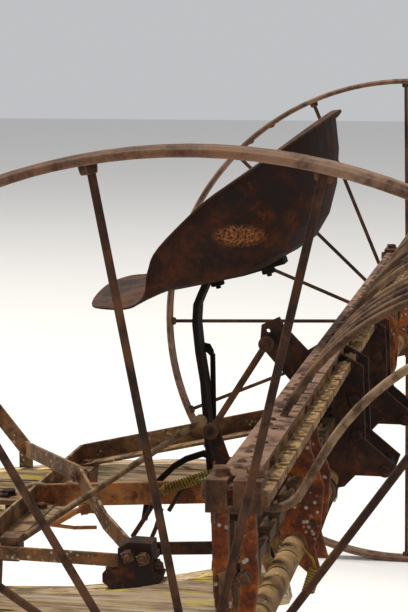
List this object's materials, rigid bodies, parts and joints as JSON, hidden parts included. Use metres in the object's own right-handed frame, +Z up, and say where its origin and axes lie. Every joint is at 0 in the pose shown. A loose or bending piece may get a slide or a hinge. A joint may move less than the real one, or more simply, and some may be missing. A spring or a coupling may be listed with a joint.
{
  "type": "horse-drawn sulky dump hay rake",
  "caption": "Two-wheeled horse-drawn hay rake with tall spoked iron wheels, curved wire teeth on a tipping head, a pressed seat on a spring bar, wooden shafts and a foot lock lever",
  "frame": {"origin": "centre of the box round the whole rake, at the ground", "axes": "+X forward along the shafts, +Y to the driver's left, +Z up"},
  "size_m": [3.5219, 3.53, 1.38],
  "materials": {
    "rim_iron": "worn grey-brown rusted iron, polished on the tread",
    "wheel_iron": "dark rusted iron",
    "rust_dark": "dark brown rust with orange patches",
    "rust_tan": "pale tan rust with lichen",
    "rust_orange": "bright orange rust with pale lichen specks",
    "tooth_steel": "weathered spring steel wire",
    "old_wood": "grey-tan weathered wood with yellow lichen",
    "seat_iron": "dark rusted pressed steel with orange rust on its floor"
  },
  "bodies": {
    "frame_unit": {"axle": "rust_dark", "axle_collars": "rust_dark", "hanger_left": "rust_dark", "hanger_right": "rust_dark", "frame_leg_left": "rust_tan", "frame_leg_right": "rust_tan", "front_cross": "rust_tan", "front_plates": "rust_dark", "cross_bar": "rust_dark", "centre_bar": "rust_orange", "shaft_beam_left": "old_wood", "shaft_beam_right": "old_wood", "shaft_pole_left": "old_wood", "shaft_pole_right": "old_wood", "long_brace": "rust_orange", "near_brace": "rust_tan", "beam_clip": "rust_dark", "draw_plate": "rust_dark", "tension_spring": "rust_orange", "trip_rod": "rust_tan", "rod_guide": "rust_tan", "hook_rod": "rust_dark", "foot_rod": "rust_dark", "seat_post": "rust_dark", "seat_pan": "seat_iron"},
    "wheel_left_unit": {"wheel_rim_left": "rim_iron", "wheel_spokes_left": "wheel_iron", "wheel_hub_left": "wheel_iron"},
    "wheel_right_unit": {"wheel_rim_right": "rim_iron", "wheel_spokes_right": "wheel_iron", "wheel_hub_right": "wheel_iron"},
    "rake_unit": {"head_angle": "rust_tan", "head_bar": "rust_dark", "head_rods": "rust_tan", "head_brackets": "rust_orange", "end_brackets": "rust_tan", "end_clamps": "rust_tan", "tooth_holders": "rust_tan", "rake_teeth": "tooth_steel", "end_teeth": "tooth_steel", "dump_casting": "rust_dark", "lock_plate": "rust_dark"},
    "lever_unit": {"lock_lever": "rust_dark"},
    "link_unit": {"lock_link": "rust_dark"}
  },
  "joints": [
    {"name": "wheel_left_turn", "type": "hinge", "parent": "frame_unit", "child": "wheel_left_unit", "pos_m": [-1.02057, 1.635, 0.69], "axis": [0, 1, 0], "continuous": true},
    {"name": "wheel_right_turn", "type": "hinge", "parent": "frame_unit", "child": "wheel_right_unit", "pos_m": [-1.02057, -1.635, 0.69], "axis": [0, 1, 0], "continuous": true},
    {"name": "rake_dump", "type": "hinge", "parent": "frame_unit", "child": "rake_unit", "pos_m": [-1.02057, 0, 0.69], "axis": [0, 1, 0], "range_deg": [0, 22]},
    {"name": "lever_swing", "type": "hinge", "parent": "frame_unit", "child": "lever_unit", "pos_m": [-0.91257, 0.1425, 0.516], "axis": [0, 1, 0], "range_deg": [0, 22]},
    {"name": "link_swing", "type": "hinge", "parent": "lever_unit", "child": "link_unit", "pos_m": [-0.77657, 0.1545, 0.742], "axis": [0, 1, 0], "range_deg": [-22, 0]}
  ],
  "couplings": [
    {"joint": "lever_swing", "follows": "rake_dump", "ratio": 1},
    {"joint": "link_swing", "follows": "rake_dump", "ratio": -1}
  ]
}
